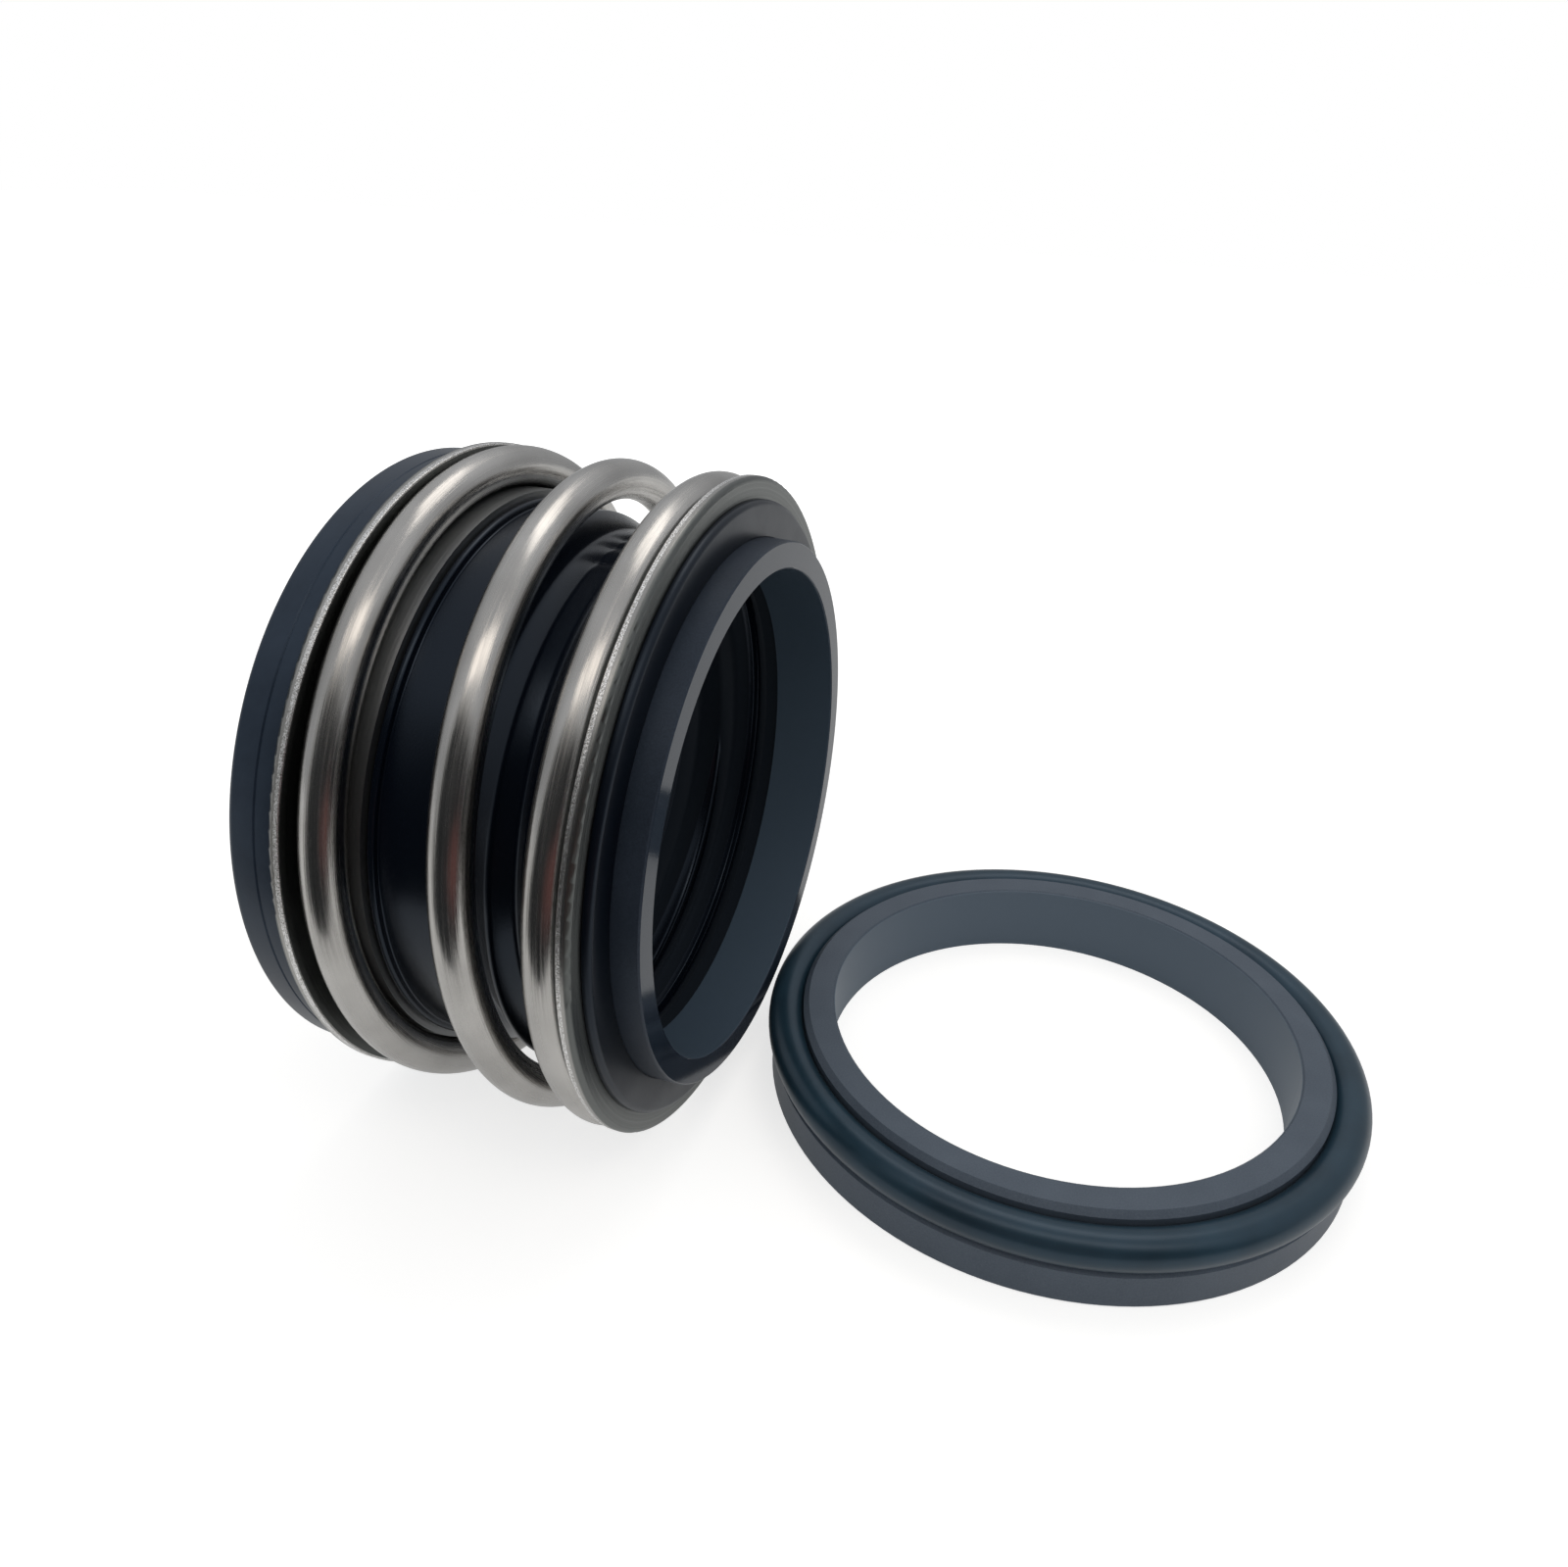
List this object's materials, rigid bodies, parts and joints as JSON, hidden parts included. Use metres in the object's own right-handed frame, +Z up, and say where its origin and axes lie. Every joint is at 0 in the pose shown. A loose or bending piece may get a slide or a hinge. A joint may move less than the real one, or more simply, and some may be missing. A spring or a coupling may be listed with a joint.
{
  "type": "component mechanical seal",
  "caption": "Rubber bellows shaft seal: a spring-loaded rotary head with a lapped seal face, and its stationary seat ring with an O-ring.",
  "frame": {"origin": "centre of the shaft bore at the tail end plane of the rotary head", "axes": "+X along the shaft axis towards the seal face, +Z up from the floor that the head and the seat lie on"},
  "size_m": [0.1214, 0.0938, 0.0784],
  "materials": {
    "silicon_carbide": "dark grey sintered silicon carbide, lapped on its running faces",
    "bellows_rubber": "moulded nitrile rubber, dull blue-black",
    "stainless_sheet": "pressed stainless sheet with sheared edges",
    "spring_wire": "bright drawn stainless spring wire",
    "o_ring_rubber": "moulded nitrile rubber, smooth"
  },
  "bodies": {
    "tail_and_seat": {"tail_l_ring": "stainless_sheet", "bellows": "bellows_rubber", "coil_spring": "spring_wire", "seat_ring": "silicon_carbide", "seat_o_ring": "o_ring_rubber"},
    "face_head": {"seal_face": "silicon_carbide", "face_l_ring": "stainless_sheet"}
  },
  "joints": [
    {"name": "face_travel", "type": "slide", "parent": "tail_and_seat", "child": "face_head", "axis": [-1, 0, 0], "range_m": [0, 0.006], "stiffness_N_per_m": 5000, "deforming": ["coil_spring", "bellows"]}
  ]
}
